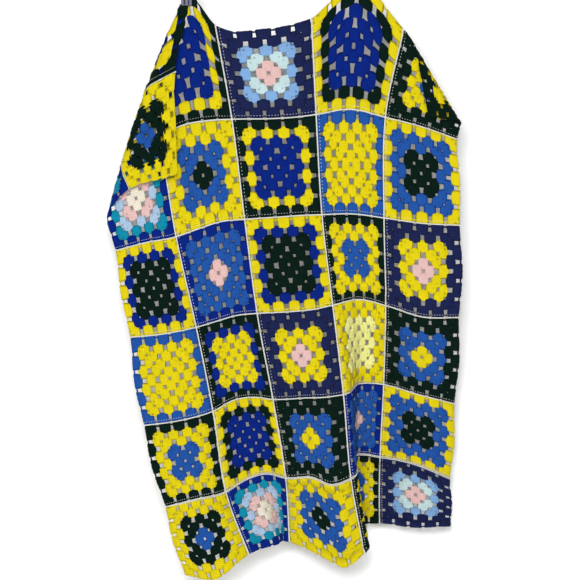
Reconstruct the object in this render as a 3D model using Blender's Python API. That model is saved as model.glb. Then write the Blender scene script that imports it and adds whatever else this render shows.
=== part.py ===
"""Granny square blanket of five by six squares, hung by its top edge from two metal clips.

The blanket is laid out flat in whole squares: `across` runs 0 to 5 from its left edge and `down`
runs 0 to 6 from its top edge. hang() gives the place in space of any point of that flat layout,
so each square and the joining seams are cut from one and the same hanging cloth.
"""

import bpy
import bmesh
import numpy as np

MM = 0.001

# The cloth, flat.
COLUMNS = 5
ROWS = 6
PITCH = 135.0  # mm from one seam's middle to the next
THICKNESS = 3.0  # mm of the crocheted squares
SEAM_THICKNESS = 3.6  # mm
UPRIGHT_SEAM = 6.5  # mm wide, between columns
LEVEL_SEAM = 4.3  # mm wide, between rows
CLEARANCE = 0.49  # mm between a square and its seam, measured flat

# Gaps cut through each square: in the middle of the centre ring, of each side and of each corner.
GAP_PLACES = (0.158, 0.5, 0.842)  # share of the square's side
GAP_SIZE = 0.06  # share of the square's side
GAP_EDGES = [place + side * GAP_SIZE / 2 for place in GAP_PLACES for side in (-1, 1)]

# Where the squares are divided besides at the gaps' own edges, as shares of the square's side:
# by column where a column bends, and further in the squares that a fold runs through.
COLUMN_DIVISIONS = {
    0: (0.32, 0.68),
    1: (0.40, 0.68, 0.94),
    2: (),
    3: (0.06, 0.32, 0.62),
    4: (0.32, 0.68),
}
FOLD_DIVISIONS = {
    "A0": {"across": (0.25, 0.40, 0.60, 0.75), "down": (0.25, 0.32, 0.40, 0.60, 0.68, 0.75)},
    "A1": {
        "across": (0.25, 0.32, 0.565, 0.60, 0.64, 0.71, 0.76),
        "down": (0.03, 0.06, 0.095, 0.16, 0.22, 0.25, 0.32, 0.40, 0.60, 0.68),
    },
    "A3": {"across": (), "down": (0.06, 0.32, 0.68)},
    "A4": {
        "across": (0.06, 0.25, 0.40, 0.60, 0.75, 0.94),
        "down": (0.06, 0.25, 0.32, 0.40, 0.60, 0.68, 0.75),
    },
    "B0": {"across": (0.06, 0.25, 0.40, 0.60), "down": (0.06, 0.25, 0.32, 0.40, 0.60, 0.68)},
    "E3": {"across": (0.09,), "down": ()},
    "F2": {"across": (), "down": (0.68,)},
    "F3": {"across": (0.03, 0.09, 0.56), "down": (0.68,)},
}
# How far right of the left clip each upright seam hangs, in mm, a row for each level seam.
# The two turned-over corners are given as they would lie if they were folded open.
SEAM_NAMES = ("left", "seam_1", "seam_2", "seam_3", "seam_4", "right")
SEAM_X = {
    "top": (-190, -89, 43, 187, 326, 437),
    "A_B": (-139, -43, 68, 194, 298, 406),
    "B_C": (-107, -16, 87, 203, 296, 410),
    "C_D": (-85, 14, 106, 219, 299, 409),
    "D_E": (-64, 39, 130, 235, 297, 404),
    "E_F": (-32, 58, 149, 246, 292, 398),
    "bottom": (-2, 93, 155, 267, 291, 399),
}

# How far below the left clip's top the cloth hangs, in mm, at named places across.
DROP_PLACES = (0, 0.5, 1, 1.33, 1.67, 2, 2.5, 2.75, 3, 3.5, 4, 4.5, 5)
DROP = {
    "top": (246, 177, 116, 58, 22, 73, 80, 74, 63, 5, 78, 123, 167),
    "A_B": (306, 272, 242, 224, 217, 215, 214, 212, 208, 200, 212, 226, 245),
    "B_C": (412, 400, 391, 379, 368, 365, 361, 359, 358, 357, 363, 371, 374),
    "C_D": (542, 537, 527, 518, 509, 506, 503, 500, 494, 485, 494, 511, 512),
    "D_E": (674, 667, 653, 637, 632, 635, 633, 632, 628, 613, 614, 629, 643),
    "E_F": (796, 784, 773, 755, 746, 752, 753, 763, 754, 722, 724, 734, 756),
    "bottom": (899, 899, 868, 854, 848, 853, 872, 886, 868, 829, 826, 827, 830),
}

# A column that hangs narrower than its own width turns away from the front to take it up, in a row
# for each. own_width in mm; the rest are shares of the column: where it starts to turn, over how
# much it turns, and how much stays turned before it turns back.
PLEATS = {
    0: {"own_width": 90, "starts": 0.0, "bend": 0.14, "leg": 0.32},
    1: {"own_width": 90, "starts": 0.4, "bend": 0.14, "leg": 0.32},
    2: {"own_width": 111, "starts": 0.0, "bend": 0.14, "leg": 0.32},
    3: {"own_width": 82, "starts": 0.0, "bend": 0.18, "leg": 0.26},
    4: {"own_width": 105, "starts": 0.0, "bend": 0.14, "leg": 0.32},
}
STEEPEST_TURN = 176.0  # degrees
STEPS = 64  # of the sums along a column

# Soft ridges (forward) and hollows (back), a row for each.
# at: place across at the top, drift: squares it moves across for each square down, reach: half
# its width in squares, start and full: rows down where it starts and is at its full height in mm.
WAVES = (
    {"at": 0.45, "drift": 0.00, "reach": 0.85, "start": 1.9, "full": 6.0, "height": 22},
    {"at": 1.45, "drift": 0.03, "reach": 0.80, "start": 1.2, "full": 4.0, "height": -12},
    {"at": 2.70, "drift": 0.02, "reach": 1.05, "start": 2.0, "full": 6.0, "height": 40},
    {"at": 4.65, "drift": 0.00, "reach": 0.70, "start": 1.6, "full": 5.0, "height": 24},
    {"at": 2.50, "drift": 0.00, "reach": 1.00, "start": 2.2, "full": 0.0, "height": 12},
)
SCALLOP = 4.0  # mm that each outer edge bows out between two seams

# The left corner is folded forward along a wide arc, the right one along a straight line.
# It is tight where it starts and opens from `opens_at` mm along it: below the clip on the left.
FOLD_AT_START = {"radius": 3.0, "turn": 180.0}  # mm and degrees
FOLD_OPENED = {"radius": 9.0, "turn": 170.0}
FOLD_OPENS_OVER = 75.0  # mm along the fold
LEFT_FOLD = {"centre_x": 1611.0, "centre_drop": 776.0, "radius": 1779.0}
LEFT_FOLD_START = {"x": 0.0, "drop": 22.0, "opens_at": 24.0}
RIGHT_FOLD = {"x": 326.0, "drop": 78.0, "to_x": 413.0, "to_drop": 223.0, "opens_at": -37.0}

# The clips, each a bent strip with two ribs on its front jaw.
CLIP_WIDTH = 16.0
CLIP_DEPTH = 18.0
CLIP_HEIGHT = 45.0
CLIP_SHOULDER = 12.0
CLIP_JAW_STARTS = 21.0
CLIP_SHEET = 1.2
RIB_RADIUS = 1.3
RIB_SPACING = 6.0
JAW_BACK = 2.4  # mm from the cloth's middle to the back jaw
CLIPS = {
    "clip_left": {"x": 0.0, "top": 0.0, "jaw_front": 8.2},
    "clip_right": {"x": 262.0, "top": 17.0, "jaw_front": 3.0},
}

# Plain colours of the yarns, and the yarn of each square's outermost round.
YARNS = {
    "yarn_lemon": (0.86, 0.72, 0.02),
    "yarn_dark_green": (0.008, 0.035, 0.022),
    "yarn_royal": (0.015, 0.045, 0.33),
    "yarn_mid_blue": (0.02, 0.14, 0.48),
    "yarn_navy": (0.012, 0.012, 0.13),
    "yarn_white": (0.85, 0.85, 0.82),
}
OUTER_ROUNDS = {
    "A": ("yarn_lemon", "yarn_dark_green", "yarn_navy", "yarn_lemon", "yarn_dark_green"),
    "B": ("yarn_royal", "yarn_lemon", "yarn_dark_green", "yarn_mid_blue", "yarn_lemon"),
    "C": ("yarn_lemon", "yarn_royal", "yarn_lemon", "yarn_dark_green", "yarn_navy"),
    "D": ("yarn_mid_blue", "yarn_dark_green", "yarn_navy", "yarn_lemon", "yarn_dark_green"),
    "E": ("yarn_dark_green", "yarn_lemon", "yarn_dark_green", "yarn_royal", "yarn_lemon"),
    "F": ("yarn_lemon", "yarn_royal", "yarn_lemon", "yarn_dark_green", "yarn_navy"),
}
STEEL = (0.62, 0.62, 0.66)


# ---------------------------------------------------------------- the hanging cloth

def blend(places, at):
    """Weights of a smooth curve through values given at places, for each point of at."""
    places = np.asarray(places, float)
    count = len(places)
    spans = np.diff(places)
    slopes = np.zeros((count, count))
    slopes[0, :2] = (-1 / spans[0], 1 / spans[0])
    slopes[-1, -2:] = (-1 / spans[-1], 1 / spans[-1])
    for k in range(1, count - 1):
        before, after = spans[k - 1], spans[k]
        slopes[k, k + 1] = before / after / (before + after)
        slopes[k, k - 1] = -after / before / (before + after)
        slopes[k, k] = -slopes[k, k + 1] - slopes[k, k - 1]
    k = np.clip(np.searchsorted(places, at, side="right") - 1, 0, count - 2)
    f = ((at - places[k]) / spans[k])[:, None]
    span = spans[k][:, None]
    one = np.eye(count)
    return (
        (2 * f**3 - 3 * f**2 + 1) * one[k]
        + (f**3 - 2 * f**2 + f) * span * slopes[k]
        + (3 * f**2 - 2 * f**3) * one[k + 1]
        + (f**3 - f**2) * span * slopes[k + 1]
    )


def soft_step(x):
    """0 below 0, 1 above 1 and a smooth rise between."""
    x = np.clip(x, 0, 1)
    return x * x * (3 - 2 * x)


def turning(share, starts, bend, leg):
    """How much of its full turn a pleated column has at a share of its width."""
    return soft_step((share - starts) / bend) - soft_step((share - starts - bend - leg) / bend)


def pleat(column, share, width):
    """How far right and how far back a point lies in a column that hangs `width` wide."""
    middles = (np.arange(STEPS) + 0.5) / STEPS
    shape = [PLEATS[column][size] for size in ("starts", "bend", "leg")]
    turns = np.radians(np.linspace(0, STEEPEST_TURN, 89))
    reached = np.cos(turns[:, None] * turning(middles, *shape)[None, :]).mean(axis=1)
    wanted = np.minimum(width / PLEATS[column]["own_width"], 1.0)
    turn = np.interp(-wanted, -reached, turns)
    length = width / np.interp(turn, turns, reached)
    angle = turn[:, None] * turning(share[:, None] * middles[None, :], *shape)
    right = np.cos(angle).mean(axis=1) * share * length
    back = np.sin(angle).mean(axis=1) * share * length
    return right, back


def open_place(across, down):
    """Where a point hangs with both corners still open: mm right, mm down, mm forward."""
    rows = blend(range(ROWS + 1), down)
    seams = rows @ np.array(list(SEAM_X.values()), float)
    drops = rows @ np.array(list(DROP.values()), float)
    drop = (drops * blend(DROP_PLACES, across)).sum(axis=1)
    x = seams[:, 0].copy()
    forward = np.zeros(len(across))
    for column in range(COLUMNS):
        width = seams[:, column + 1] - seams[:, column]
        share = np.clip(across - column, 0, 1)
        right, back = pleat(column, share, width)
        x += np.where(share < 1, right, width) * (share > 0)
        forward -= back
    for wave in WAVES:
        offset = (across - wave["at"] - wave["drift"] * down) / wave["reach"]
        grown = soft_step((down - wave["start"]) / (wave["full"] - wave["start"]))
        forward += wave["height"] * grown * np.cos(np.clip(offset, -1, 1) * np.pi / 2) ** 2
    bow = SCALLOP * np.sin(np.pi * down) ** 2
    x += bow * (np.clip(across - COLUMNS + 1, 0, 1) ** 2 - np.clip(1 - across, 0, 1) ** 2)
    hem = np.clip(down - ROWS + 1, 0, 1) ** 2
    drop += SCALLOP * np.sin(np.pi * across) ** 2 * hem
    return x, drop, forward


def bend_over(beyond, along):
    """The fold: how far out and how far forward a point goes that lay `beyond` the fold's edge."""
    opened = soft_step(along / FOLD_OPENS_OVER)
    radius, turn = (
        FOLD_AT_START[size] + (FOLD_OPENED[size] - FOLD_AT_START[size]) * opened
        for size in ("radius", "turn")
    )
    turn = np.radians(turn)
    angle = np.clip(beyond / radius + 1, 0, turn)
    rest = np.clip(beyond + radius - turn * radius, 0, None)
    out = radius * np.sin(angle) - radius + rest * np.cos(turn)
    forward = radius * (1 - np.cos(angle)) + rest * np.sin(turn)
    return np.where(angle > 0, out, beyond), forward


def fold_left(x, drop, forward):
    """Folds what lies outside the wide arc forward, over the front."""
    dx, dy = x - LEFT_FOLD["centre_x"], drop - LEFT_FOLD["centre_drop"]
    start_x = LEFT_FOLD_START["x"] - LEFT_FOLD["centre_x"]
    start_y = LEFT_FOLD_START["drop"] - LEFT_FOLD["centre_drop"]
    reach = np.hypot(dx, dy)
    turned = np.arctan2(dx * start_y - dy * start_x, dx * start_x + dy * start_y)
    along = turned * LEFT_FOLD["radius"] - LEFT_FOLD_START["opens_at"]
    out, raised = bend_over(reach - LEFT_FOLD["radius"], along)
    scale = (LEFT_FOLD["radius"] + out) / reach
    x, drop = LEFT_FOLD["centre_x"] + dx * scale, LEFT_FOLD["centre_drop"] + dy * scale
    return x, drop, forward + raised


def fold_right(x, drop, forward):
    """Folds what lies outside the straight line forward, over the front."""
    run_x, run_y = RIGHT_FOLD["to_x"] - RIGHT_FOLD["x"], RIGHT_FOLD["to_drop"] - RIGHT_FOLD["drop"]
    length = np.hypot(run_x, run_y)
    run_x, run_y = run_x / length, run_y / length
    dx, dy = x - RIGHT_FOLD["x"], drop - RIGHT_FOLD["drop"]
    beyond = dx * run_y - dy * run_x
    out, raised = bend_over(beyond, dx * run_x + dy * run_y - RIGHT_FOLD["opens_at"])
    out -= beyond
    return x + out * run_y, drop - out * run_x, forward + raised


def hang(across, down):
    """The place in space, in metres, of points of the flat layout: an array of three columns."""
    across = np.asarray(across, float)
    down = np.asarray(down, float)
    place = open_place(across, down)
    left = fold_left(*place)
    right = fold_right(*place)
    x, drop, forward = (
        np.where(across < 2, a, np.where(across > COLUMNS - 1.5, b, c))
        for a, b, c in zip(left, right, place)
    )
    return np.stack([x, -forward, -drop], axis=1) * MM


def facing(across, down):
    """The direction in which the front of the cloth faces at points of the flat layout."""
    step = 1e-4
    inside = np.clip(across, step, COLUMNS - step)
    along_u = hang(inside + step, down) - hang(inside - step, down)
    along_v = hang(across, down + step) - hang(across, down - step)
    normal = np.cross(along_v, along_u)
    return normal / np.linalg.norm(normal, axis=1)[:, None]


# ---------------------------------------------------------------- solids

def slab(name, cells, thickness, material):
    """A closed sheet over cells of the flat layout, each (left, right, upper, lower)."""
    corners = {}
    for left, right, upper, lower in cells:
        for key in ((left, upper), (left, lower), (right, lower), (right, upper)):
            corners.setdefault(key, len(corners))
    across, down = np.array(list(corners)).T
    middle, normal = hang(across, down), facing(across, down)
    mesh = bmesh.new()
    front = [mesh.verts.new(place) for place in middle + normal * thickness * MM / 2]
    back = [mesh.verts.new(place) for place in middle - normal * thickness * MM / 2]
    edges = set()
    for left, right, upper, lower in cells:
        ring = [(left, upper), (left, lower), (right, lower), (right, upper)]
        ring = [corners[key] for key in ring]
        mesh.faces.new([front[k] for k in ring])
        mesh.faces.new([back[k] for k in reversed(ring)])
        edges.update(zip(ring, ring[1:] + ring[:1]))
    places = list(corners)
    for a, b in sorted(edges):
        if (b, a) in edges:
            continue
        if places[a] < places[b]:
            mesh.faces.new([front[a], back[a], back[b]])
            mesh.faces.new([front[a], back[b], front[b]])
        else:
            mesh.faces.new([front[a], back[a], front[b]])
            mesh.faces.new([back[a], back[b], front[b]])
    return add_object(name, mesh, material)


def add_object(name, mesh, material):
    data = bpy.data.meshes.new(name)
    mesh.to_mesh(data)
    mesh.free()
    data.shade_smooth()
    data.set_sharp_from_angle(angle=np.radians(50))
    data.materials.append(material)
    part = bpy.data.objects.new(name, data)
    bpy.context.collection.objects.link(part)
    return part


def plain_material(name, colour, roughness, metallic=0.0):
    material = bpy.data.materials.new(name)
    material.use_nodes = True
    shader = material.node_tree.nodes["Principled BSDF"]
    shader.inputs["Base Color"].default_value = (*colour, 1)
    shader.inputs["Roughness"].default_value = roughness
    shader.inputs["Metallic"].default_value = metallic
    material.diffuse_color = (*colour, 1)
    return material


def span(index, count, seam, clearance=0.0):
    """The first and last line of a row or column of squares, between the seams beside it."""
    half = (seam / 2 + clearance) / PITCH
    return index + half * (index > 0), index + 1 - half * (index < count - 1)


def lines_at(first, last, shares):
    return [float(round(first + (last - first) * share, 7)) for share in sorted(shares)]


def across_shares(row, column):
    """Where a square is divided across, as shares of its side."""
    own = FOLD_DIVISIONS.get(square_name(row, column), {}).get("across", ())
    return {0.0, 1.0, *GAP_EDGES, *COLUMN_DIVISIONS[column], *own}


def down_shares(row, column):
    """Where a square is divided down its side, as shares of it."""
    own = FOLD_DIVISIONS.get(square_name(row, column), {}).get("down", ())
    return {0.0, 1.0, *GAP_EDGES, *own}


def square_name(row, column):
    return f"{'ABCDEF'[row]}{column}"


def cells_between(across, down):
    return [
        (left, right, upper, lower)
        for upper, lower in zip(down, down[1:])
        for left, right in zip(across, across[1:])
    ]


def in_gap(first, last, low, high):
    """Whether the stretch from low to high is one of a square's gaps."""
    middle = ((low + high) / 2 - first) / (last - first)
    return any(abs(middle - place) < GAP_SIZE / 4 for place in GAP_PLACES)


def make_square(row, column, material):
    """One crocheted square with its nine gaps cut through."""
    width = span(column, COLUMNS, UPRIGHT_SEAM, CLEARANCE)
    height = span(row, ROWS, LEVEL_SEAM, CLEARANCE)
    across = lines_at(*width, across_shares(row, column))
    down = lines_at(*height, down_shares(row, column))
    cells = [
        (left, right, upper, lower)
        for left, right, upper, lower in cells_between(across, down)
        if not (in_gap(*width, left, right) and in_gap(*height, upper, lower))
    ]
    return slab(f"square_{square_name(row, column)}", cells, THICKNESS, material)


def make_seams(material):
    """The white joining seams: one net with the squares in its openings."""
    cells = []
    for column in range(COLUMNS):
        for row in range(ROWS):
            left, right = span(column, COLUMNS, UPRIGHT_SEAM)
            upper, lower = span(row, ROWS, LEVEL_SEAM)
            beside, below = column + 1 < COLUMNS, row + 1 < ROWS
            past = [right, span(column + 1, COLUMNS, UPRIGHT_SEAM)[0]]
            under = [lower, span(row + 1, ROWS, LEVEL_SEAM)[0]]
            if beside:
                shares = down_shares(row, column) | down_shares(row, column + 1)
                cells += cells_between(past, lines_at(upper, lower, shares))
            if below:
                shares = across_shares(row, column) | across_shares(row + 1, column)
                cells += cells_between(lines_at(left, right, shares), under)
            if beside and below:
                cells += cells_between(past, under)
    rounded = [tuple(float(round(side, 7)) for side in cell) for cell in cells]
    return slab("joining_seams", rounded, SEAM_THICKNESS, material)


def make_clip(name, x, top, jaw_front, material):
    """A strip bent down over the cloth's edge, its front and back jaws shut on the cloth."""
    half, sheet = CLIP_DEPTH / 2, CLIP_SHEET
    outer = [
        (-jaw_front - sheet, -CLIP_HEIGHT),
        (-jaw_front - sheet, -CLIP_JAW_STARTS),
        (-half, -CLIP_SHOULDER),
        (-half, 0),
        (half, 0),
        (half, -CLIP_SHOULDER),
        (JAW_BACK + sheet, -CLIP_JAW_STARTS),
        (JAW_BACK + sheet, -CLIP_HEIGHT),
    ]
    inner = [
        (JAW_BACK, -CLIP_HEIGHT),
        (JAW_BACK, -CLIP_JAW_STARTS),
        (half - sheet, -CLIP_SHOULDER),
        (half - sheet, -sheet),
        (sheet - half, -sheet),
        (sheet - half, -CLIP_SHOULDER),
        (-jaw_front, -CLIP_JAW_STARTS),
        (-jaw_front, -CLIP_HEIGHT),
    ]
    mesh = bmesh.new()
    loop = [
        mesh.verts.new(((x - CLIP_WIDTH / 2) * MM, y * MM, (top + z) * MM)) for y, z in outer + inner
    ]
    side = mesh.faces.new(loop)
    swept = bmesh.ops.extrude_face_region(mesh, geom=[side])["geom"]
    moved = [v for v in swept if isinstance(v, bmesh.types.BMVert)]
    bmesh.ops.translate(mesh, verts=moved, vec=(CLIP_WIDTH * MM, 0, 0))
    bmesh.ops.recalc_face_normals(mesh, faces=mesh.faces[:])
    clip = add_object(name, mesh, material)
    bevel = clip.modifiers.new("softened edges", "BEVEL")
    bevel.width = 0.4 * MM
    bevel.segments = 1
    for side in (-1, 1):
        rib_x = x + side * RIB_SPACING / 2
        rib = make_rib(f"{name}_rib", rib_x, -jaw_front - sheet, top)
        joined = clip.modifiers.new("rib", "BOOLEAN")
        joined.operation = "UNION"
        joined.object = rib
    return clip


def make_rib(name, x, y, top):
    """A round rod sunk by half into the jaw's front, used to raise a rib on it."""
    length = CLIP_HEIGHT - CLIP_JAW_STARTS - 3.0
    mesh = bmesh.new()
    bmesh.ops.create_cone(
        mesh,
        cap_ends=True,
        segments=10,
        radius1=RIB_RADIUS * MM,
        radius2=RIB_RADIUS * MM,
        depth=length * MM,
    )
    middle = (x * MM, (y + 0.4) * MM, (top - CLIP_HEIGHT + 1.5 + length / 2) * MM)
    bmesh.ops.translate(mesh, verts=mesh.verts[:], vec=middle)
    data = bpy.data.meshes.new(name)
    mesh.to_mesh(data)
    mesh.free()
    rib = bpy.data.objects.new(name, data)
    bpy.context.collection.objects.link(rib)
    rib.hide_render = True
    rib.display_type = "WIRE"
    return rib


def main():
    for old in list(bpy.data.objects):
        bpy.data.objects.remove(old)
    yarns = {name: plain_material(name, colour, 0.9) for name, colour in YARNS.items()}
    steel = plain_material("clip_steel", STEEL, 0.35, metallic=1.0)
    for row, letter in enumerate("ABCDEF"):
        for column in range(COLUMNS):
            make_square(row, column, yarns[OUTER_ROUNDS[letter][column]])
    make_seams(yarns["yarn_white"])
    for name, clip in CLIPS.items():
        make_clip(name, material=steel, **clip)


main()
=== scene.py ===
"""Granny square blanket hung from two clips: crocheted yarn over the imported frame.

Every square is crocheted flat, round by round, from its own stitches. Each stitch is then carried
to its place on the hanging cloth. `across` runs 0 to 5 over the squares from the left edge and
`down` 0 to 6 from the top edge, as in the frame.
"""

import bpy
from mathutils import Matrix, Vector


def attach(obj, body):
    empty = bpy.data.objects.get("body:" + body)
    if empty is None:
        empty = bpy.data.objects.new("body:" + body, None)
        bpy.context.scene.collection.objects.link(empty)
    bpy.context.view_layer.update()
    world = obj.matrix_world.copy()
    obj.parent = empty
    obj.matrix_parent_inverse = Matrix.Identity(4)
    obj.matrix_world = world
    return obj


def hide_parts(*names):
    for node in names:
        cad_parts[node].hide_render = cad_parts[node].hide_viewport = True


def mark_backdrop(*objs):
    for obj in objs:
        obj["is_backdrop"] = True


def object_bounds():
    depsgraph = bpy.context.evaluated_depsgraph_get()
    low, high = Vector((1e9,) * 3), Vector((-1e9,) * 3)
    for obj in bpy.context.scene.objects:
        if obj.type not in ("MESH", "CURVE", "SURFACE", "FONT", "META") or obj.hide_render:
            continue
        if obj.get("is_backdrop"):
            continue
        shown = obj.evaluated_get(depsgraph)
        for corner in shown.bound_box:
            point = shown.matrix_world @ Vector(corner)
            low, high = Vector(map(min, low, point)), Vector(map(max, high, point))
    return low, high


bl_info = {
    "name": "Granny Square Blanket",
    "version": (1, 0, 0),
    "blender": (4, 5, 0),
    "location": "View3D > Sidebar > Blanket",
    "description": "Crochets a hanging blanket of granny squares with its joins, clips and stage",
    "category": "Add Mesh",
}

import bpy
import numpy as np
from bpy.props import FloatProperty, FloatVectorProperty, IntProperty, PointerProperty

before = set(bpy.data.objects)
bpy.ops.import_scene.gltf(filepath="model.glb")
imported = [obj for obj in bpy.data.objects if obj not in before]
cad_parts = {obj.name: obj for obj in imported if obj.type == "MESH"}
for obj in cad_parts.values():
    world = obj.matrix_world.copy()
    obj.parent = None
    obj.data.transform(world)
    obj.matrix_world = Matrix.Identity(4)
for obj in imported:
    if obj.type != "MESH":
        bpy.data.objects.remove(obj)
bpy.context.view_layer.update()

MM = 0.001

# ---------------------------------------------------------------- the cloth's layout

COLUMNS = 5
ROWS = 6
PITCH = 135.0  # mm from one seam's middle to the next
SQUARE = 130.0  # mm, side of a square as crocheted

# The yarn of each square's rounds, from the centre out, row by row from the top left.
CHART = {
    "A0": ("mid_blue", "dark_green", "dark_green", "lemon", "lemon"),
    "A1": ("royal", "royal", "royal", "lemon", "dark_green"),
    "A2": ("pink", "mint", "light_blue", "navy", "navy"),
    "A3": ("royal", "royal", "royal", "dark_green", "lemon"),
    "A4": ("mid_blue", "lemon", "lemon", "dark_green", "dark_green"),
    "B0": ("cream", "pink", "ice_blue", "teal", "royal"),
    "B1": ("dark_green", "mid_blue", "mid_blue", "lemon", "lemon"),
    "B2": ("royal", "royal", "royal", "lemon", "dark_green"),
    "B3": ("lemon", "lemon", "lemon", "lemon", "mid_blue"),
    "B4": ("dark_green", "dark_green", "mid_blue", "mid_blue", "lemon"),
    "C0": ("dark_green", "dark_green", "dark_green", "royal", "lemon"),
    "C1": ("pink", "mid_blue", "mid_blue", "mid_blue", "royal"),
    "C2": ("dark_green", "dark_green", "dark_green", "royal", "lemon"),
    "C3": ("mid_blue", "mid_blue", "lemon", "lemon", "dark_green"),
    "C4": ("pink", "lemon", "lemon", "navy", "navy"),
    "D0": ("lemon", "lemon", "lemon", "lemon", "mid_blue"),
    "D1": ("lemon", "lemon", "lemon", "royal", "dark_green"),
    "D2": ("pink", "lemon", "lemon", "navy", "navy"),
    "D3": ("pale_yellow", "pale_yellow", "pale_yellow", "lemon", "lemon"),
    "D4": ("lemon", "mid_blue", "mid_blue", "dark_green", "dark_green"),
    "E0": ("mid_blue", "mid_blue", "lemon", "lemon", "dark_green"),
    "E1": ("royal", "royal", "royal", "dark_green", "lemon"),
    "E2": ("lemon", "mid_blue", "mid_blue", "dark_green", "dark_green"),
    "E3": ("pink", "mid_blue", "mid_blue", "mid_blue", "royal"),
    "E4": ("dark_green", "dark_green", "mid_blue", "mid_blue", "lemon"),
    "F0": ("mid_blue", "dark_green", "dark_green", "lemon", "lemon"),
    "F1": ("cream", "pink", "ice_blue", "teal", "royal"),
    "F2": ("dark_green", "mid_blue", "mid_blue", "lemon", "lemon"),
    "F3": ("mid_blue", "mid_blue", "lemon", "lemon", "dark_green"),
    "F4": ("pink", "mint", "light_blue", "navy", "navy"),
}

# ---------------------------------------------------------------- how the cloth hangs

# How far right of the left clip each upright seam hangs, in mm, a row for each level seam.
# The two turned-over corners are given as they would lie if they were folded open.
SEAM_NAMES = ("left", "seam_1", "seam_2", "seam_3", "seam_4", "right")
SEAM_X = {
    "top": (-190, -89, 43, 187, 326, 437),
    "A_B": (-139, -43, 68, 194, 298, 406),
    "B_C": (-107, -16, 87, 203, 296, 410),
    "C_D": (-85, 14, 106, 219, 299, 409),
    "D_E": (-64, 39, 130, 235, 297, 404),
    "E_F": (-32, 58, 149, 246, 292, 398),
    "bottom": (-2, 93, 155, 267, 291, 399),
}

# How far below the left clip's top the cloth hangs, in mm, at named places across.
DROP_PLACES = (0, 0.5, 1, 1.33, 1.67, 2, 2.5, 2.75, 3, 3.5, 4, 4.5, 5)
DROP = {
    "top": (246, 177, 116, 58, 22, 73, 80, 74, 63, 5, 78, 123, 167),
    "A_B": (306, 272, 242, 224, 217, 215, 214, 212, 208, 200, 212, 226, 245),
    "B_C": (412, 400, 391, 379, 368, 365, 361, 359, 358, 357, 363, 371, 374),
    "C_D": (542, 537, 527, 518, 509, 506, 503, 500, 494, 485, 494, 511, 512),
    "D_E": (674, 667, 653, 637, 632, 635, 633, 632, 628, 613, 614, 629, 643),
    "E_F": (796, 784, 773, 755, 746, 752, 753, 763, 754, 722, 724, 734, 756),
    "bottom": (899, 899, 868, 854, 848, 853, 872, 886, 868, 829, 826, 827, 830),
}

# A column that hangs narrower than its own width turns away from the front to take it up, in a row
# for each. own_width in mm; the rest are shares of the column: where it starts to turn, over how
# much it turns, and how much stays turned before it turns back.
PLEATS = {
    0: {"own_width": 90, "starts": 0.0, "bend": 0.14, "leg": 0.32},
    1: {"own_width": 90, "starts": 0.4, "bend": 0.14, "leg": 0.32},
    2: {"own_width": 111, "starts": 0.0, "bend": 0.14, "leg": 0.32},
    3: {"own_width": 82, "starts": 0.0, "bend": 0.18, "leg": 0.26},
    4: {"own_width": 105, "starts": 0.0, "bend": 0.14, "leg": 0.32},
}
STEEPEST_TURN = 176.0  # degrees
STEPS = 64  # of the sums along a column
TURNS_TRIED = 89  # from none to the steepest

# Soft ridges (forward) and hollows (back), a row for each.
# at: place across at the top, drift: squares it moves across for each square down, reach: half
# its width in squares, start and full: rows down where it starts and is at its full height in mm.
WAVES = (
    {"at": 0.45, "drift": 0.00, "reach": 0.85, "start": 1.9, "full": 6.0, "height": 22},
    {"at": 1.45, "drift": 0.03, "reach": 0.80, "start": 1.2, "full": 4.0, "height": -12},
    {"at": 2.70, "drift": 0.02, "reach": 1.05, "start": 2.0, "full": 6.0, "height": 40},
    {"at": 4.65, "drift": 0.00, "reach": 0.70, "start": 1.6, "full": 5.0, "height": 24},
    {"at": 2.50, "drift": 0.00, "reach": 1.00, "start": 2.2, "full": 0.0, "height": 12},
)
SCALLOP = 4.0  # mm that each outer edge bows out between two seams

# The left corner is folded forward along a wide arc, the right one along a straight line.
# It is tight where it starts and opens from `opens_at` mm along it: below the clip on the left.
FOLD_AT_START = {"radius": 3.0, "turn": 180.0}  # mm and degrees
FOLD_OPENED = {"radius": 9.0, "turn": 170.0}
FOLD_OPENS_OVER = 75.0  # mm along the fold
LEFT_FOLD = {"centre_x": 1611.0, "centre_drop": 776.0, "radius": 1779.0}
LEFT_FOLD_START = {"x": 0.0, "drop": 22.0, "opens_at": 24.0}
RIGHT_FOLD = {"x": 326.0, "drop": 78.0, "to_x": 413.0, "to_drop": 223.0, "opens_at": -37.0}
LEFT_FOLD_UP_TO = 2.0  # squares from the left edge
RIGHT_FOLD_FROM = 3.5
NEAR = 1e-4  # of a square, between the points that a tangent is taken from


def blend(places, at):
    """Weights of a smooth curve through values given at places, for each point of at: cubic
    pieces whose slope at a place is that of the parabola through it and its neighbours."""
    places = np.asarray(places, float)
    count = len(places)
    spans = np.diff(places)
    slopes = np.zeros((count, count))
    slopes[0, :2] = (-1 / spans[0], 1 / spans[0])
    slopes[-1, -2:] = (-1 / spans[-1], 1 / spans[-1])
    for k in range(1, count - 1):
        before, after = spans[k - 1], spans[k]
        slopes[k, k + 1] = before / after / (before + after)
        slopes[k, k - 1] = -after / before / (before + after)
        slopes[k, k] = -slopes[k, k + 1] - slopes[k, k - 1]
    k = np.clip(np.searchsorted(places, at, side="right") - 1, 0, count - 2)
    f = ((at - places[k]) / spans[k])[:, None]
    span = spans[k][:, None]
    one = np.eye(count)
    return (
        (2 * f**3 - 3 * f**2 + 1) * one[k]
        + (f**3 - 2 * f**2 + f) * span * slopes[k]
        + (3 * f**2 - 2 * f**3) * one[k + 1]
        + (f**3 - f**2) * span * slopes[k + 1]
    )


def soft_step(x):
    """0 below 0, 1 above 1 and between them three times x squared less twice x cubed."""
    x = np.clip(x, 0, 1)
    return x * x * (3 - 2 * x)


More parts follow.
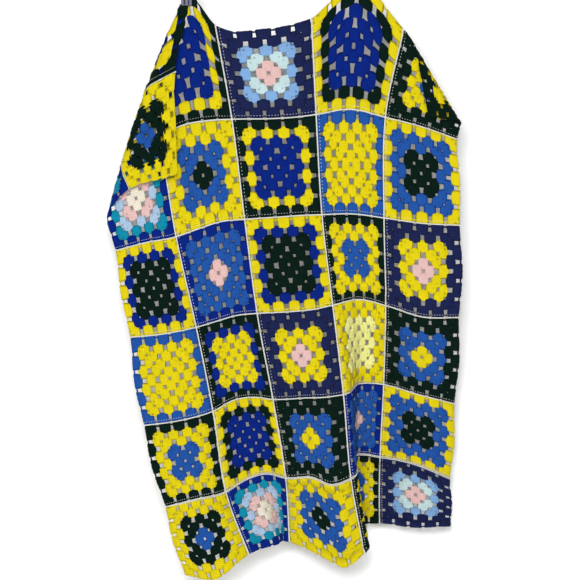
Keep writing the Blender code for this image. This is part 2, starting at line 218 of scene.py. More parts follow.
def turning(share, starts, bend, leg):
    """How much of its full turn a pleated column has at a share of its width: a soft step up at
    its start and a soft step down after the leg."""
    return soft_step((share - starts) / bend) - soft_step((share - starts - bend - leg) / bend)


def pleat(column, share, width):
    """How far right and back a point lies in a column that hangs `width` wide: the sums of the
    cosine and the sine of the turn along it, with the turn that makes the whole sum the width."""
    middles = (np.arange(STEPS) + 0.5) / STEPS
    shape = [PLEATS[column][size] for size in ("starts", "bend", "leg")]
    turns = np.radians(np.linspace(0, STEEPEST_TURN, TURNS_TRIED))
    reached = np.cos(turns[:, None] * turning(middles, *shape)[None, :]).mean(axis=1)
    wanted = np.minimum(width / PLEATS[column]["own_width"], 1.0)
    turn = np.interp(-wanted, -reached, turns)
    length = width / np.interp(turn, turns, reached)
    angle = turn[:, None] * turning(share[:, None] * middles[None, :], *shape)
    right = np.cos(angle).mean(axis=1) * share * length
    back = np.sin(angle).mean(axis=1) * share * length
    return right, back


def open_place(across, down):
    """Where a point hangs with both corners still open, in mm right, down and forward: the tables'
    smooth curves, the columns' pleats added up from the left, the waves and the edges' bows."""
    rows = blend(range(ROWS + 1), down)
    seams = rows @ np.array(list(SEAM_X.values()), float)
    drops = rows @ np.array(list(DROP.values()), float)
    drop = (drops * blend(DROP_PLACES, across)).sum(axis=1)
    x = seams[:, 0].copy()
    forward = np.zeros(len(across))
    for column in range(COLUMNS):
        width = seams[:, column + 1] - seams[:, column]
        share = np.clip(across - column, 0, 1)
        right, back = pleat(column, share, width)
        x += np.where(share < 1, right, width) * (share > 0)
        forward -= back
    for wave in WAVES:
        offset = (across - wave["at"] - wave["drift"] * down) / wave["reach"]
        grown = soft_step((down - wave["start"]) / (wave["full"] - wave["start"]))
        forward += wave["height"] * grown * np.cos(np.clip(offset, -1, 1) * np.pi / 2) ** 2
    bow = SCALLOP * np.sin(np.pi * down) ** 2
    x += bow * (np.clip(across - COLUMNS + 1, 0, 1) ** 2 - np.clip(1 - across, 0, 1) ** 2)
    hem = np.clip(down - ROWS + 1, 0, 1) ** 2
    drop += SCALLOP * np.sin(np.pi * across) ** 2 * hem
    return x, drop, forward


def bend_over(beyond, along):
    """The fold: how far out and forward a point goes that lay `beyond` the fold's edge: along a
    straight run up to the bend, round a circle through the turn, then straight back."""
    opened = soft_step(along / FOLD_OPENS_OVER)
    radius, turn = (
        FOLD_AT_START[size] + (FOLD_OPENED[size] - FOLD_AT_START[size]) * opened
        for size in ("radius", "turn")
    )
    turn = np.radians(turn)
    angle = np.clip(beyond / radius + 1, 0, turn)
    rest = np.clip(beyond + radius - turn * radius, 0, None)
    out = radius * np.sin(angle) - radius + rest * np.cos(turn)
    forward = radius * (1 - np.cos(angle)) + rest * np.sin(turn)
    return np.where(angle > 0, out, beyond), forward


def fold_left(x, drop, forward):
    """Folds what lies outside the wide arc forward, over the front, along the arc's radii."""
    dx, dy = x - LEFT_FOLD["centre_x"], drop - LEFT_FOLD["centre_drop"]
    start_x = LEFT_FOLD_START["x"] - LEFT_FOLD["centre_x"]
    start_y = LEFT_FOLD_START["drop"] - LEFT_FOLD["centre_drop"]
    reach = np.hypot(dx, dy)
    turned = np.arctan2(dx * start_y - dy * start_x, dx * start_x + dy * start_y)
    along = turned * LEFT_FOLD["radius"] - LEFT_FOLD_START["opens_at"]
    out, raised = bend_over(reach - LEFT_FOLD["radius"], along)
    scale = (LEFT_FOLD["radius"] + out) / reach
    x, drop = LEFT_FOLD["centre_x"] + dx * scale, LEFT_FOLD["centre_drop"] + dy * scale
    return x, drop, forward + raised


def fold_right(x, drop, forward):
    """Folds what lies outside the straight line forward, over the front, square to the line."""
    run_x, run_y = RIGHT_FOLD["to_x"] - RIGHT_FOLD["x"], RIGHT_FOLD["to_drop"] - RIGHT_FOLD["drop"]
    length = np.hypot(run_x, run_y)
    run_x, run_y = run_x / length, run_y / length
    dx, dy = x - RIGHT_FOLD["x"], drop - RIGHT_FOLD["drop"]
    beyond = dx * run_y - dy * run_x
    out, raised = bend_over(beyond, dx * run_x + dy * run_y - RIGHT_FOLD["opens_at"])
    out -= beyond
    return x + out * run_y, drop - out * run_x, forward + raised


def hang(across, down):
    """The place in space, in metres, of points of the flat layout, as an array of three columns:
    the open place, folded at the left and at the right."""
    across = np.asarray(across, float)
    down = np.asarray(down, float)
    place = open_place(across, down)
    left = fold_left(*place)
    right = fold_right(*place)
    x, drop, forward = (
        np.where(across < LEFT_FOLD_UP_TO, a, np.where(across > RIGHT_FOLD_FROM, b, c))
        for a, b, c in zip(left, right, place)
    )
    return np.stack([x, -forward, -drop], axis=1) * MM


def onto_cloth(across, down, height):
    """Carries points of the flat layout, `height` mm in front of the cloth, to their places. Gives
    the direction in which the cloth faces there too, from the cross product of its two tangents,
    and from that product's length how many times its flat area the cloth has."""
    shape = across.shape
    across, down = across.ravel(), down.ravel()
    place = hang(across, down)
    step = np.where(across + NEAR > COLUMNS, -NEAR, NEAR)
    along_u = (hang(across + step, down) - place) / step[:, None]
    along_v = (hang(across, down + NEAR) - place) / NEAR
    front = np.cross(along_v, along_u)
    size = np.linalg.norm(front, axis=1)
    front /= size[:, None]
    place += front * height.ravel()[:, None] * MM
    stretch = size / (PITCH * MM) ** 2
    return place.reshape(*shape, 3), front.reshape(*shape, 3), stretch.reshape(shape)


# ---------------------------------------------------------------- yarn carried along paths

def strand_profile(radius, sides):
    """One strand's round section, in mm."""
    angle = 2 * np.pi * np.arange(sides) / sides
    return radius * np.stack([np.cos(angle), np.sin(angle)], axis=1)


def twin_profile(radius):
    """The section of two strands side by side, in mm: two lobes with a waist between them."""
    quarter = [(2.0, 0.0), (1.35, 0.52), (0.0, 0.27), (-1.35, 0.52)]
    return radius * np.array(quarter + [(-x, -y) for x, y in quarter])


def carried(place, profile, twist, closed=False):
    """A profile carried along paths (strands, points, 3) and turned about them by twist. Its first
    axis lies along the cloth, square to the path, and its second towards the front."""
    paths, front = place[:2]
    count, points, _ = paths.shape
    sides = profile.shape[-2]
    if closed:
        run = np.roll(paths, -1, axis=1) - np.roll(paths, 1, axis=1)
    else:
        run = np.gradient(paths, axis=1)
    run /= np.linalg.norm(run, axis=2)[..., None]
    beside = np.cross(front, run)
    beside /= np.linalg.norm(beside, axis=2)[..., None]
    out = np.cross(run, beside)
    cos, sin = np.cos(twist)[..., None], np.sin(twist)[..., None]
    x = profile[..., 0] * cos - profile[..., 1] * sin
    y = profile[..., 0] * sin + profile[..., 1] * cos
    ring = beside[:, :, None] * x[..., None] + out[:, :, None] * y[..., None]
    return paths[:, :, None] + ring * MM


class Yarn:
    """Gathers tubes and makes them one mesh, with a map that runs round and along the yarn."""

    def __init__(self):
        self.vertices, self.faces = [], []
        self.count = 0

    def add(self, rings, slot, closed=False, around=None):
        """Adds tubes given by their rings' corners (tubes, rings, corners, 3), which are joined
        end to end if closed. around is how far round the yarn each corner lies, and the first
        once more: a whole turn in even steps unless it is given."""
        count, points, sides, _ = rings.shape
        if around is None:
            around = np.linspace(0, 1, sides + 1)
        index = self.count + np.arange(count * points * sides).reshape(count, points, sides)
        here = index if closed else index[:, :-1]
        there = np.roll(index, -1, axis=1) if closed else index[:, 1:]
        quads = np.stack(
            [here, np.roll(here, -1, axis=2), np.roll(there, -1, axis=2), there], axis=-1
        )
        middle = rings.mean(axis=2)
        ahead = np.linalg.norm(np.roll(middle, -1, axis=1) - middle, axis=2).mean(axis=0) / MM
        along = np.concatenate([[0], np.cumsum(ahead)])
        u = np.stack([around[:-1], around[1:], around[1:], around[:-1]], axis=-1)
        v = np.stack([along[:-1], along[:-1], along[1:], along[1:]], axis=-1)
        uv = np.stack(np.broadcast_arrays(u, v[: here.shape[1], None]), axis=-1)
        uv = np.broadcast_to(uv, (*quads.shape, 2))
        self.vertices.append(rings.reshape(-1, 3))
        self.faces.append((quads.reshape(-1, 4), slot, uv.reshape(-1, 4, 2)))
        for cap in () if closed else (index[:, 0, ::-1], index[:, -1]):
            self.faces.append((cap, slot, np.zeros((*cap.shape, 2))))
        self.count += count * points * sides

    def make(self, name, materials):
        """One mesh with flat arrays put in by foreach_set: corners, faces, slots and the map."""
        sizes = np.concatenate([np.full(len(f), f.shape[1]) for f, _, _ in self.faces])
        slots = np.concatenate([np.full(len(f), slot) for f, slot, _ in self.faces])
        corners = np.concatenate([f.ravel() for f, _, _ in self.faces])
        uv = np.concatenate([m.reshape(-1, 2) for _, _, m in self.faces])
        vertices = np.concatenate(self.vertices)
        data = bpy.data.meshes.new(name)
        data.vertices.add(len(vertices))
        data.vertices.foreach_set("co", vertices.ravel())
        data.loops.add(len(corners))
        data.loops.foreach_set("vertex_index", corners.astype(np.int32))
        data.polygons.add(len(sizes))
        starts = np.concatenate([[0], np.cumsum(sizes)[:-1]])
        data.polygons.foreach_set("loop_start", starts.astype(np.int32))
        data.polygons.foreach_set("material_index", slots.astype(np.int32))
        data.uv_layers.new(name="yarn").data.foreach_set("uv", uv.ravel())
        data.update(calc_edges=True)
        data.validate()
        data.shade_smooth()
        for material in materials:
            data.materials.append(material)
        piece = bpy.data.objects.new(name, data)
        bpy.context.collection.objects.link(piece)
        return piece


# ---------------------------------------------------------------- stitches, flat

ROUNDS = 5
RING = 0  # number of the ring that the first round starts from
FIRST_SEED = 100  # of the squares' random strays
STRETCH_PROBES = (-45, -15, 15, 45)  # mm from a square's middle, where its stretch is measured
LOOSEST = 0.1  # least overlap of the rounds, as a share of the usual one
SLIDES_APART = 2.6  # share of that overlap lost where the cloth is drawn out to twice its area


def round_edge(number, settings):
    """How far a round's outer edge lies from the square's middle, in mm: evenly spaced."""
    first = settings.centre_ring
    return first + (SQUARE / 2 - first) * number / ROUNDS


def turn_to_side(x, out, side):
    """Carries points given along and out from the top side to one of the four sides."""
    return [(x, -out), (out, x), (-x, out), (-out, -x)][side]


# A cluster of three tall stitches from foot to top: shares of its length, how wide it is there
# as shares of its usual width, in an inner round and in the last one, how far in front of the
# cloth's middle it lies, in mm, and its thickness as a share. It is a block of nearly even
# width with rounded ends, and in the last round it stays wide up to the square's edge.
CLUSTER = {
    "along": (0.0, 0.08, 0.24, 0.50, 0.80, 0.94, 1.0),
    "inner": (0.70, 0.89, 0.99, 1.00, 1.00, 0.95, 0.82),
    "last": (0.70, 0.89, 0.99, 1.04, 1.07, 1.07, 1.06),
    "front": (-0.3, 0.7, 1.2, 1.1, 0.4, 0.1, -0.2),
    "thick": (0.3, 0.8, 1.0, 1.0, 0.95, 0.7, 0.25),
}
# Its section: corners aside from its middle in stitches, and forward in mm.
SECTION = {
    "aside": (-1.55, -1.05, -0.52, 0.0, 0.52, 1.05, 1.55, 0.8, -0.8),
    "front": (-0.1, 1.4, 0.15, 1.5, 0.15, 1.4, -0.1, -0.7, -0.7),
}
# How far apart its stitches are, in stitch spacings, and how much closer at full overlap.
BLOCK = {"width": 1.06, "overlap_narrows": 0.04}
# The first round is narrower and lies in front of the second's feet, in mm. Its feet start further
# out, which leaves a hole in the middle, and the second round's feet go deeper, in mm.
FIRST_ROUND = {"width": 0.95, "forward": 0.9, "foot_out": 0.9}
SECOND_ROUND = {"foot_in": 1.2}
# A corner's cluster: its foot's depth as a share of the usual one, what full overlap adds to that,
# and how much further the foot lies along the side than out from the middle, in mm.
CORNER = {"depth": 0.5, "overlap_adds": 0.1, "foot_beside": 1.5}
LEAN = 1.5  # a cluster leans to its place over the first 1 / LEAN of its length
# How a cluster's ends bend, in mm where they are one stitch aside, and how deep its three tops are
# parted, in mm.
ENDS = {"top_arch": 0.35, "foot_arch": 0.3, "top_lobes": 0.7}
STRAYS = {"width": 0.06, "forward": 0.4}  # share of the width, and mm, for each mm of unevenness


def clusters(number, settings, overlap, chance):
    """One round's clusters of three tall stitches, each a tube of lobed sections, as corners in
    mm across, down and forward. A cluster stands in the space below, leans to its place by a soft
    step and rises evenly to the round's edge, where its top is an arch of three lobes: aside
    squared, plus the squared sine of pi times aside. overlap is the share of their usual reach
    with which its foot and its top lie over the neighbouring rounds."""
    t = np.array(CLUSTER["along"])[:, None]
    block = BLOCK["width"] - BLOCK["overlap_narrows"] * overlap
    width = np.array(CLUSTER["last" if number == ROUNDS else "inner"])[:, None]
    width = width * settings.stitch_spacing * (FIRST_ROUND["width"] if number == 1 else block)
    aside, relief = np.array(SECTION["aside"]), np.array(SECTION["front"])
    middle = (np.arange(number) - (number - 1) / 2) * settings.cluster_pitch
    corner = np.zeros(number)
    if number > 1:
        corner[0], corner[-1] = -1, 1
    low, high = round_edge(number - 1, settings), round_edge(number, settings)
    corner_depth = CORNER["depth"] + CORNER["overlap_adds"] * overlap
    depth = settings.foot_depth * np.where(corner == 0, overlap, corner_depth)
    if number == 1:
        depth = depth - FIRST_ROUND["foot_out"] * overlap
    if number == 2:
        depth = depth + SECOND_ROUND["foot_in"]
    corner_foot = corner * (low - depth + CORNER["foot_beside"])
    foot = np.where(corner == 0, middle, corner_foot)[:, None, None]
    depth = depth[:, None, None]
    reach = settings.top_reach * overlap * (number < ROUNDS)
    front = np.array(CLUSTER["front"])[:, None] + relief * np.array(CLUSTER["thick"])[:, None]
    front = front + FIRST_ROUND["forward"] * (number == 1)
    rings = []
    for side in range(4):
        shift = chance.normal(0, settings.unevenness, (4, number, 1, 1))
        x = foot + (middle[:, None, None] - foot) * soft_step(t * LEAN) + shift[0]
        x = x + aside * width * (1 + STRAYS["width"] * shift[1])
        bent = ENDS["top_arch"] * aside**2 + ENDS["top_lobes"] * np.sin(np.pi * aside) ** 2
        top = high + reach - bent + shift[2]
        out = low - depth + ENDS["foot_arch"] * aside**2 + (top - low + depth) * t
        a, b = turn_to_side(x, out, side)
        forward = front + STRAYS["forward"] * shift[3]
        rings.append(np.stack(np.broadcast_arrays(a, b, forward), axis=-1))
    return np.concatenate(rings)


# The chains of the ring and of the outer edge: how far inside the round's edge they run, in mm,
# and how far they dip between the clusters.
RING_CHAIN = {"inset": 0.9, "dip": 0.0}
EDGE_CHAIN = {"inset": 1.7, "dip": 0.8}
CHAIN_CORNER = 6.0  # mm, radius of a chain's corners where there is room for it
CORNER_ROOM = 0.55  # or else this share of the way out
CORNER_POINTS = 7
FEWEST_TURNS = 3
STEPS_A_TURN = 6
TWIST_SWING = 0.5  # radians that a chain rocks each way


def edge_chain(number, settings):
    """The chained edge of the ring or of the last round: two strands that rock about each other
    along a square with rounded corners, which dips between the clusters as a cosine does."""
    chain = RING_CHAIN if number == RING else EDGE_CHAIN
    out = round_edge(number, settings) - chain["inset"]
    rounding = min(CHAIN_CORNER, out * CORNER_ROOM)
    straight = out - rounding
    quarter = np.linspace(0, np.pi / 2, CORNER_POINTS)
    path = []
    for side in range(4):
        x = np.concatenate([[-straight], straight + rounding * np.sin(quarter)])
        y = np.concatenate([[out], straight + rounding * np.cos(quarter)])
        path.append(np.stack(turn_to_side(x, y, side), axis=1)[:-1])
    path = np.concatenate(path + [path[0][:1]])
    length = np.concatenate([[0], np.cumsum(np.hypot(*np.diff(path, axis=0).T))])
    turns = max(int(round(length[-1] / settings.chain_pitch)), FEWEST_TURNS)
    s = np.arange(turns * STEPS_A_TURN) / (turns * STEPS_A_TURN)
    a = np.interp(s * length[-1], length, path[:, 0])
    b = np.interp(s * length[-1], length, path[:, 1])
    along = np.where(abs(b) > abs(a), a, b)
    swing = 2 * np.pi * along / settings.cluster_pitch
    dip = chain["dip"] * (np.cos(swing) - 1) * (abs(along) < straight)
    grow = 1 + dip / np.hypot(a, b)
    path = np.stack([a * grow, b * grow, 0 * a], axis=-1)
    return path[None], TWIST_SWING * np.sin(2 * np.pi * turns * s)[None]


WIDENS = (0.6, 1.12)  # least and most that a section widens with the cloth
THINS = (0.9, 1.5)  # least and most that it is drawn out, which thins it


def drawn_out(profile, flat, place):
    """A section for each point of paths. Where the hanging cloth is stretched square to a stitch,
    the section widens by that stretch, and it thins as it widens or is drawn out, as its yarn
    stays the same."""
    hung, _, stretch = place
    flat_run = np.linalg.norm(np.gradient(flat, axis=1), axis=2)
    along = np.linalg.norm(np.gradient(hung, axis=1), axis=2) / MM / flat_run
    wider = np.clip(stretch / along, *WIDENS)
    thinner = 1 / np.clip(wider * along, *THINS)
    return profile * np.stack([wider, thinner], axis=-1)[..., None, :]


def square_span(index, count, seam):
    """Where a row or column of squares starts and how wide it is, in squares: half a seam is left
    free on each side that has one."""
    half = seam / 2 / PITCH
    first = index + half * (index > 0)
    last = index + 1 - half * (index < count - 1)
    return first, last - first


def square_name(row, column):
    """A letter for the row, from the top, and a number for the column, from the left."""
    return f"{'ABCDEF'[row]}{column}"


def crochet_square(name, row, column, settings, materials):
    """One square: the ring it starts from, five rounds of clusters and the chain round its outer
    edge, all carried to the hanging cloth."""
    chance = np.random.default_rng(FIRST_SEED + 10 * row + column)
    left, width = square_span(column, COLUMNS, settings.edge_gap)
    top, height = square_span(row, ROWS, settings.edge_gap)
    rounds = CHART[square_name(row, column)]
    slots = list(dict.fromkeys(rounds))

    def carry(path):
        across = left + width * (path[..., 0] / SQUARE + 0.5)
        down = top + height * (path[..., 1] / SQUARE + 0.5)
        return onto_cloth(across, down, path[..., 2])

    # Where the cloth is drawn out, its rounds slide apart and overlap less.
    probes = np.meshgrid(STRETCH_PROBES, STRETCH_PROBES, [0])
    drawn = carry(np.stack(probes, axis=-1))[2].mean()
    overlap = np.clip(1 - SLIDES_APART * (drawn - 1), LOOSEST, 1.0)
    yarn = Yarn()
    for number in range(ROUNDS + 1):
        slot = slots.index(rounds[max(number - 1, 0)])
        if number in (RING, ROUNDS):
            path, twist = edge_chain(number, settings)
            place = carry(path)
            section = drawn_out(twin_profile(settings.chain_radius), path, place)
            yarn.add(carried(place, section, twist, True), slot, closed=True)
        if number != RING:
            around = np.array(SECTION["aside"] + SECTION["aside"][:1]) / 2
            rings = carry(clusters(number, settings, overlap, chance))[0]
            yarn.add(rings, slot, around=around)
    return yarn.make(name, [materials[slot] for slot in slots])


# The joins: how many seams there are each way and how many squares each passes, the length of one
# turn of the plait, how far beside the seam its row of small stitches lies and the radius of their
# yarn, in mm.
JOINS = {
    "upright": {
        "seams": COLUMNS - 1, "squares": ROWS, "turn": 13.0, "stitches_at": 5.2, "strand": 0.4,
    },
    "level": {
        "seams": ROWS - 1, "squares": COLUMNS, "turn": 11.0, "stitches_at": -4.6, "strand": 0.36,
    },
}
PLAIT_HEAVE = 0.55  # of a strand's radius: how far it moves in and out
STITCH_SPAN = 2.6  # mm from end to end of one small stitch
STITCH_ARCH = 3.0  # mm, its height above its ends
STITCH_SUNK = 0.4  # mm that its ends lie behind the cloth's middle
JOIN_SIDES = 4
UNTWISTED = np.zeros((1, 1))


def plait(seam, join, swing, radius, lift):
    """Three strands that plait along a seam: each swings from side to side as a sine and in and
    out at twice the rate, a third of a turn after the one before."""
    turns = int(join["squares"] * PITCH / join["turn"])
    s = np.linspace(0, 1, turns * STEPS_A_TURN + 1)
    angle = 2 * np.pi * (turns * s[None] + np.arange(3)[:, None] / 3)
    beside = seam + swing * np.sin(angle) / PITCH
    height = lift + PLAIT_HEAVE * radius * np.sin(2 * angle)
    return np.broadcast_to(s, beside.shape) * join["squares"], beside, height


def small_stitches(seam, join, spacing):
    """The row of small stitches beside a join, evenly spaced, each a short arch out of the cloth
    and back whose height is a cosine."""
    count = int(join["squares"] * PITCH / spacing)
    t = np.linspace(-0.5, 0.5, 4)
    middles = (np.arange(count) + 0.5)[:, None] / count
    along = middles * join["squares"] + t * STITCH_SPAN / PITCH
    beside = seam + join["stitches_at"] / PITCH + 0 * along
    return along, beside, STITCH_ARCH * np.cos(np.pi * t) - STITCH_SUNK + 0 * along


def onto_seam(kind, along, beside, height):
    """Carries points given along and beside an upright or a level seam to the hanging cloth."""
    across, down = (beside, along) if kind == "upright" else (along, beside)
    return onto_cloth(across, down, height)


# ---------------------------------------------------------------- materials

class Socket:
    """A node's output, or a plain number, that adds Math nodes when it is reckoned with."""

    def __init__(self, shader, source):
        self.shader, self.source = shader, source

    def reckon(self, operation, *others):
        values = [self, *others]
        node = self.shader.node("ShaderNodeMath", {"operation": operation}, *values)
        return node.out(0)

    def __add__(self, other):
        return self.reckon("ADD", other)

    def __radd__(self, other):
        return self.reckon("ADD", other)

    def __sub__(self, other):
        return self.reckon("SUBTRACT", other)

    def __rsub__(self, other):
        return Socket(self.shader, other).reckon("SUBTRACT", self)

    def __mul__(self, other):
        return self.reckon("MULTIPLY", other)

    def __rmul__(self, other):
        return self.reckon("MULTIPLY", other)

    def sine(self):
        return self.reckon("SINE")


class Node:
    """A node whose outputs can be reckoned with."""

    def __init__(self, shader, node):
        self.shader, self.node = shader, node

    def out(self, key):
        return Socket(self.shader, self.node.outputs[key])


class Shader:
    """A material under construction."""

    def __init__(self, name, colour):
        self.material = bpy.data.materials.new(name)
        self.material.use_nodes = True
        self.material.diffuse_color = (*colour, 1)
        self.tree = self.material.node_tree
        self.surface = self.tree.nodes["Principled BSDF"]

    def node(self, kind, settings=None, *values, **named):
        """Adds a node: its settings first, then its sockets by place or by name."""
        node = self.tree.nodes.new(kind)
        for key, value in (settings or {}).items():
            setattr(node, key, value)
        for key, value in [*enumerate(values), *named.items()]:
            socket = node.inputs[key if isinstance(key, int) else key.replace("_", " ")]
            self.put(socket, value)
        return Node(self, node)

    def put(self, socket, value):
        """Links a socket to an output, or gives it a plain value."""
        if isinstance(value, Socket):
            value = value.source
        if isinstance(value, bpy.types.NodeSocket):
            self.tree.links.new(value, socket)
        else:
            socket.default_value = value

    def set(self, **values):
        """Puts values into the surface's sockets by name."""
        for key, value in values.items():
            self.put(self.surface.inputs[key.replace("_", " ")], value)

    def mix(self, factor, one, two):
        """A colour between two: plain numbers are colours of three."""
        node = self.tree.nodes.new("ShaderNodeMix")
        node.data_type = "RGBA"
        for key, value in ((0, factor), (6, one), (7, two)):
            if isinstance(value, tuple):
                value = (*value, 1)
            self.put(node.inputs[key], value)
        return Socket(self, node.outputs[2])


def shade(colour, by):
    """A colour made darker or lighter, each channel at most 1."""
    return tuple(min(channel * by, 1.0) for channel in colour)


# Spun yarn. Scales are those of the noise, shades are shares of the yarn's colour, the groove
# values say how far the grooves between the plies and the hairs' low places are darkened towards
# the darkest shade, which is painted shade in these hollows, and heights are shares of the bump's.
YARN_LOOK = {
    "plies": 2,
    "hairs": {"scale": 2600.0, "detail": 2.0, "painted_groove_shade": 0.25, "height": 0.5},
    "patches": {"scale": 70.0, "detail": 2.0, "dark": 0.86, "light": 1.12},
    "ply": {"painted_groove_shade": 0.45, "height": 0.7},
    "painted_shade_darkest": 0.45,
    "bump": {"Strength": 0.55, "Distance": 0.0006},
    "surface": {"Roughness": 0.88, "Sheen_Roughness": 0.5, "Specular_IOR_Level": 0.06},
}
# Plated steel: the scale of its scratches, their shade and how much they vary the roughness.
STEEL_LOOK = {"scratches": (900.0, 900.0, 60.0), "dark": 0.8, "roughness": 0.25}


def noise(shader, place, look):
    """Noise on Object coordinates."""
    return shader.node(
        "ShaderNodeTexNoise", None, Vector=place, Scale=look["scale"], Detail=look["detail"]
    ).out(0)


def make_yarn_material(name, colour, settings):
    """Spun yarn: plies that wind round it as a sine of the place round it and along it, hairs that
    break up its surface, soft patches of darker and lighter tone, painted shade in the grooves
    between the plies and in the hairs' low places, and a faint sheen."""
    look = YARN_LOOK
    shader = Shader(name, colour)
    place = shader.node("ShaderNodeTexCoord")
    split = shader.node("ShaderNodeSeparateXYZ", None, place.out("UV"))
    wound = split.out("X") + split.out("Y") * (1 / settings.ply_pitch)
    ply = (wound * (2 * np.pi * look["plies"])).sine() * 0.5 + 0.5
    hairs = noise(shader, place.out("Object"), look["hairs"])
    patches = noise(shader, place.out("Object"), look["patches"])
    dark, light = shade(colour, look["patches"]["dark"]), shade(colour, look["patches"]["light"])
    plain = shader.mix(patches, dark, light)
    # Painted shade: the base colour darkens towards the darkest painted shade in the grooves
    # between the plies and where the hair noise, and with it the bump, is low.
    painted_groove_shade = (1 - ply) * look["ply"]["painted_groove_shade"] + (1 - hairs) * look["hairs"]["painted_groove_shade"]
    shader.set(
        Base_Color=shader.mix(painted_groove_shade, plain, shade(colour, look["painted_shade_darkest"])),
        Sheen_Weight=settings.sheen,
        **look["surface"],
    )
    height = ply * look["ply"]["height"] + hairs * look["hairs"]["height"]
    bump = shader.node("ShaderNodeBump", None, Height=height, **look["bump"])
    shader.set(Normal=bump.out("Normal"))
    return shader.material


def make_steel(name, settings):
    """Plated sheet steel, with faint scratches that vary its roughness."""
    colour = tuple(settings.colour)
    shader = Shader(name, colour)
    place = shader.node("ShaderNodeTexCoord")
    stretched = shader.node(
        "ShaderNodeMapping", None, Vector=place.out("Object"), Scale=STEEL_LOOK["scratches"]
    )
    scratches = shader.node("ShaderNodeTexNoise", None, Vector=stretched.out(0), Scale=1.0).out(0)
    shader.set(
        Base_Color=shader.mix(scratches, shade(colour, STEEL_LOOK["dark"]), colour),
        Roughness=scratches * STEEL_LOOK["roughness"] + settings.roughness,
        Metallic=1.0,
    )
    return shader.material


# ---------------------------------------------------------------- settings

def colour_property(name, description, default):
    """A colour that a user can change."""
    return FloatVectorProperty(
        name=name, description=description, subtype="COLOR", size=3, min=0, max=1, default=default
    )


class BLANKET_PG_yarn(bpy.types.PropertyGroup):
    centre_ring: FloatProperty(
        name="Centre Ring", description="From a square's middle to its ring, mm", default=5.0
    )
    cluster_pitch: FloatProperty(
        name="Cluster Pitch", description="From one cluster to the next, mm", default=26.4
    )
    stitch_spacing: FloatProperty(
        name="Stitch Spacing",
        description="Between a cluster's stitches at its widest, mm",
        default=6.5,
    )
    unevenness: FloatProperty(
        name="Unevenness", description="How far a hand-made stitch strays, mm", default=0.3
    )
    top_reach: FloatProperty(
        name="Top Reach",
        description="How far a cluster's top reaches past its round, mm",
        default=1.7,
    )
    foot_depth: FloatProperty(
        name="Foot Depth", description="How deep a cluster reaches below its round, mm", default=3.9
    )
    edge_gap: FloatProperty(
        name="Edge Gap", description="Between two squares' edges under their join, mm", default=0.8
    )
    chain_radius: FloatProperty(
        name="Chain Strand", description="Radius of a strand in a square's chains, mm", default=0.8
    )
    chain_pitch: FloatProperty(
        name="Chain Pitch", description="Length of one turn of a chain, mm", default=11.8
    )
    ply_pitch: FloatProperty(
        name="Ply Pitch", description="Length of one turn of the yarn's plies, mm", default=5.0
    )
    sheen: FloatProperty(name="Sheen", description="Soft light on the hairs", default=0.01)
    lemon: colour_property("Lemon", "Lemon yellow yarn", (0.63, 0.52, 0.005))
    pale_yellow: colour_property("Pale Yellow", "Pale yellow yarn", (0.74, 0.72, 0.245))
    dark_green: colour_property("Dark Green", "Very dark green yarn", (0.0009, 0.0092, 0.0058))
    royal: colour_property("Royal", "Royal blue yarn", (0.0009, 0.0142, 0.175))
    mid_blue: colour_property("Mid Blue", "Middle blue yarn", (0.0125, 0.072, 0.305))
    navy: colour_property("Navy", "Navy yarn", (0.009, 0.014, 0.064))
    light_blue: colour_property("Light Blue", "Light blue yarn", (0.185, 0.34, 0.59))
    mint: colour_property("Mint", "Pale mint yarn", (0.46, 0.6, 0.61))
    ice_blue: colour_property("Ice Blue", "Pale ice blue yarn", (0.33, 0.45, 0.6))
    pink: colour_property("Pink", "Pale pink yarn", (0.645, 0.42, 0.4))
    teal: colour_property("Teal", "Bright teal yarn", (0.004, 0.215, 0.33))
    cream: colour_property("Cream", "Cream yarn", (0.69, 0.63, 0.52))


class BLANKET_PG_joins(bpy.types.PropertyGroup):
    upright_width: FloatProperty(
        name="Upright Swing", description="Swing of an upright join's plait, mm", default=0.6
    )
    level_width: FloatProperty(
        name="Level Swing", description="Swing of a level join's plait, mm", default=0.5
    )
    upright_radius: FloatProperty(
        name="Upright Strand", description="Radius of an upright join's strands, mm", default=0.65
    )
    level_radius: FloatProperty(
        name="Level Strand", description="Radius of a level join's strands, mm", default=0.55
    )
    lift: FloatProperty(name="Lift", description="How far the join stands proud, mm", default=1.7)
    stitch_pitch: FloatProperty(
        name="Stitch Pitch", description="From one small stitch to the next, mm", default=4.8
    )
    white: colour_property("White", "White joining yarn", (0.72, 0.72, 0.67))


class BLANKET_PG_clips(bpy.types.PropertyGroup):
    colour: colour_property("Steel", "Colour of the plated steel", (0.06, 0.056, 0.08))
    roughness: FloatProperty(name="Roughness", description="Least roughness", default=0.38)


class BLANKET_PG_stage(bpy.types.PropertyGroup):
    view_width: FloatProperty(
        name="View Width", description="Width of the view at the cloth", default=0.87, unit="LENGTH"
    )
    view_x: FloatProperty(
        name="View X", description="Middle of the view", default=0.155, unit="LENGTH"
    )
    view_z: FloatProperty(
        name="View Z", description="Middle of the view", default=-0.471, unit="LENGTH"
    )
    camera_distance: FloatProperty(
        name="Camera Distance", description="From camera to cloth", default=6.0, unit="LENGTH"
    )
    wall_gap: FloatProperty(
        name="Wall Gap",
        description="From the rearmost fold to the wall",
        default=0.015,
        unit="LENGTH",
    )
    floor_drop: FloatProperty(
        name="Floor Drop", description="From the hem to the floor", default=0.35, unit="LENGTH"
    )
    key_power: FloatProperty(name="Key Power", description="Watts of the key light", default=147.0)
    fill_power: FloatProperty(name="Fill Power", description="Watts of the fill", default=73.0)
    surround: FloatProperty(name="Surround", description="Strength of the pale world", default=0.10)
    tone: IntProperty(name="Wall Tone", description="Percent of light it returns", default=90)


# ---------------------------------------------------------------- operators

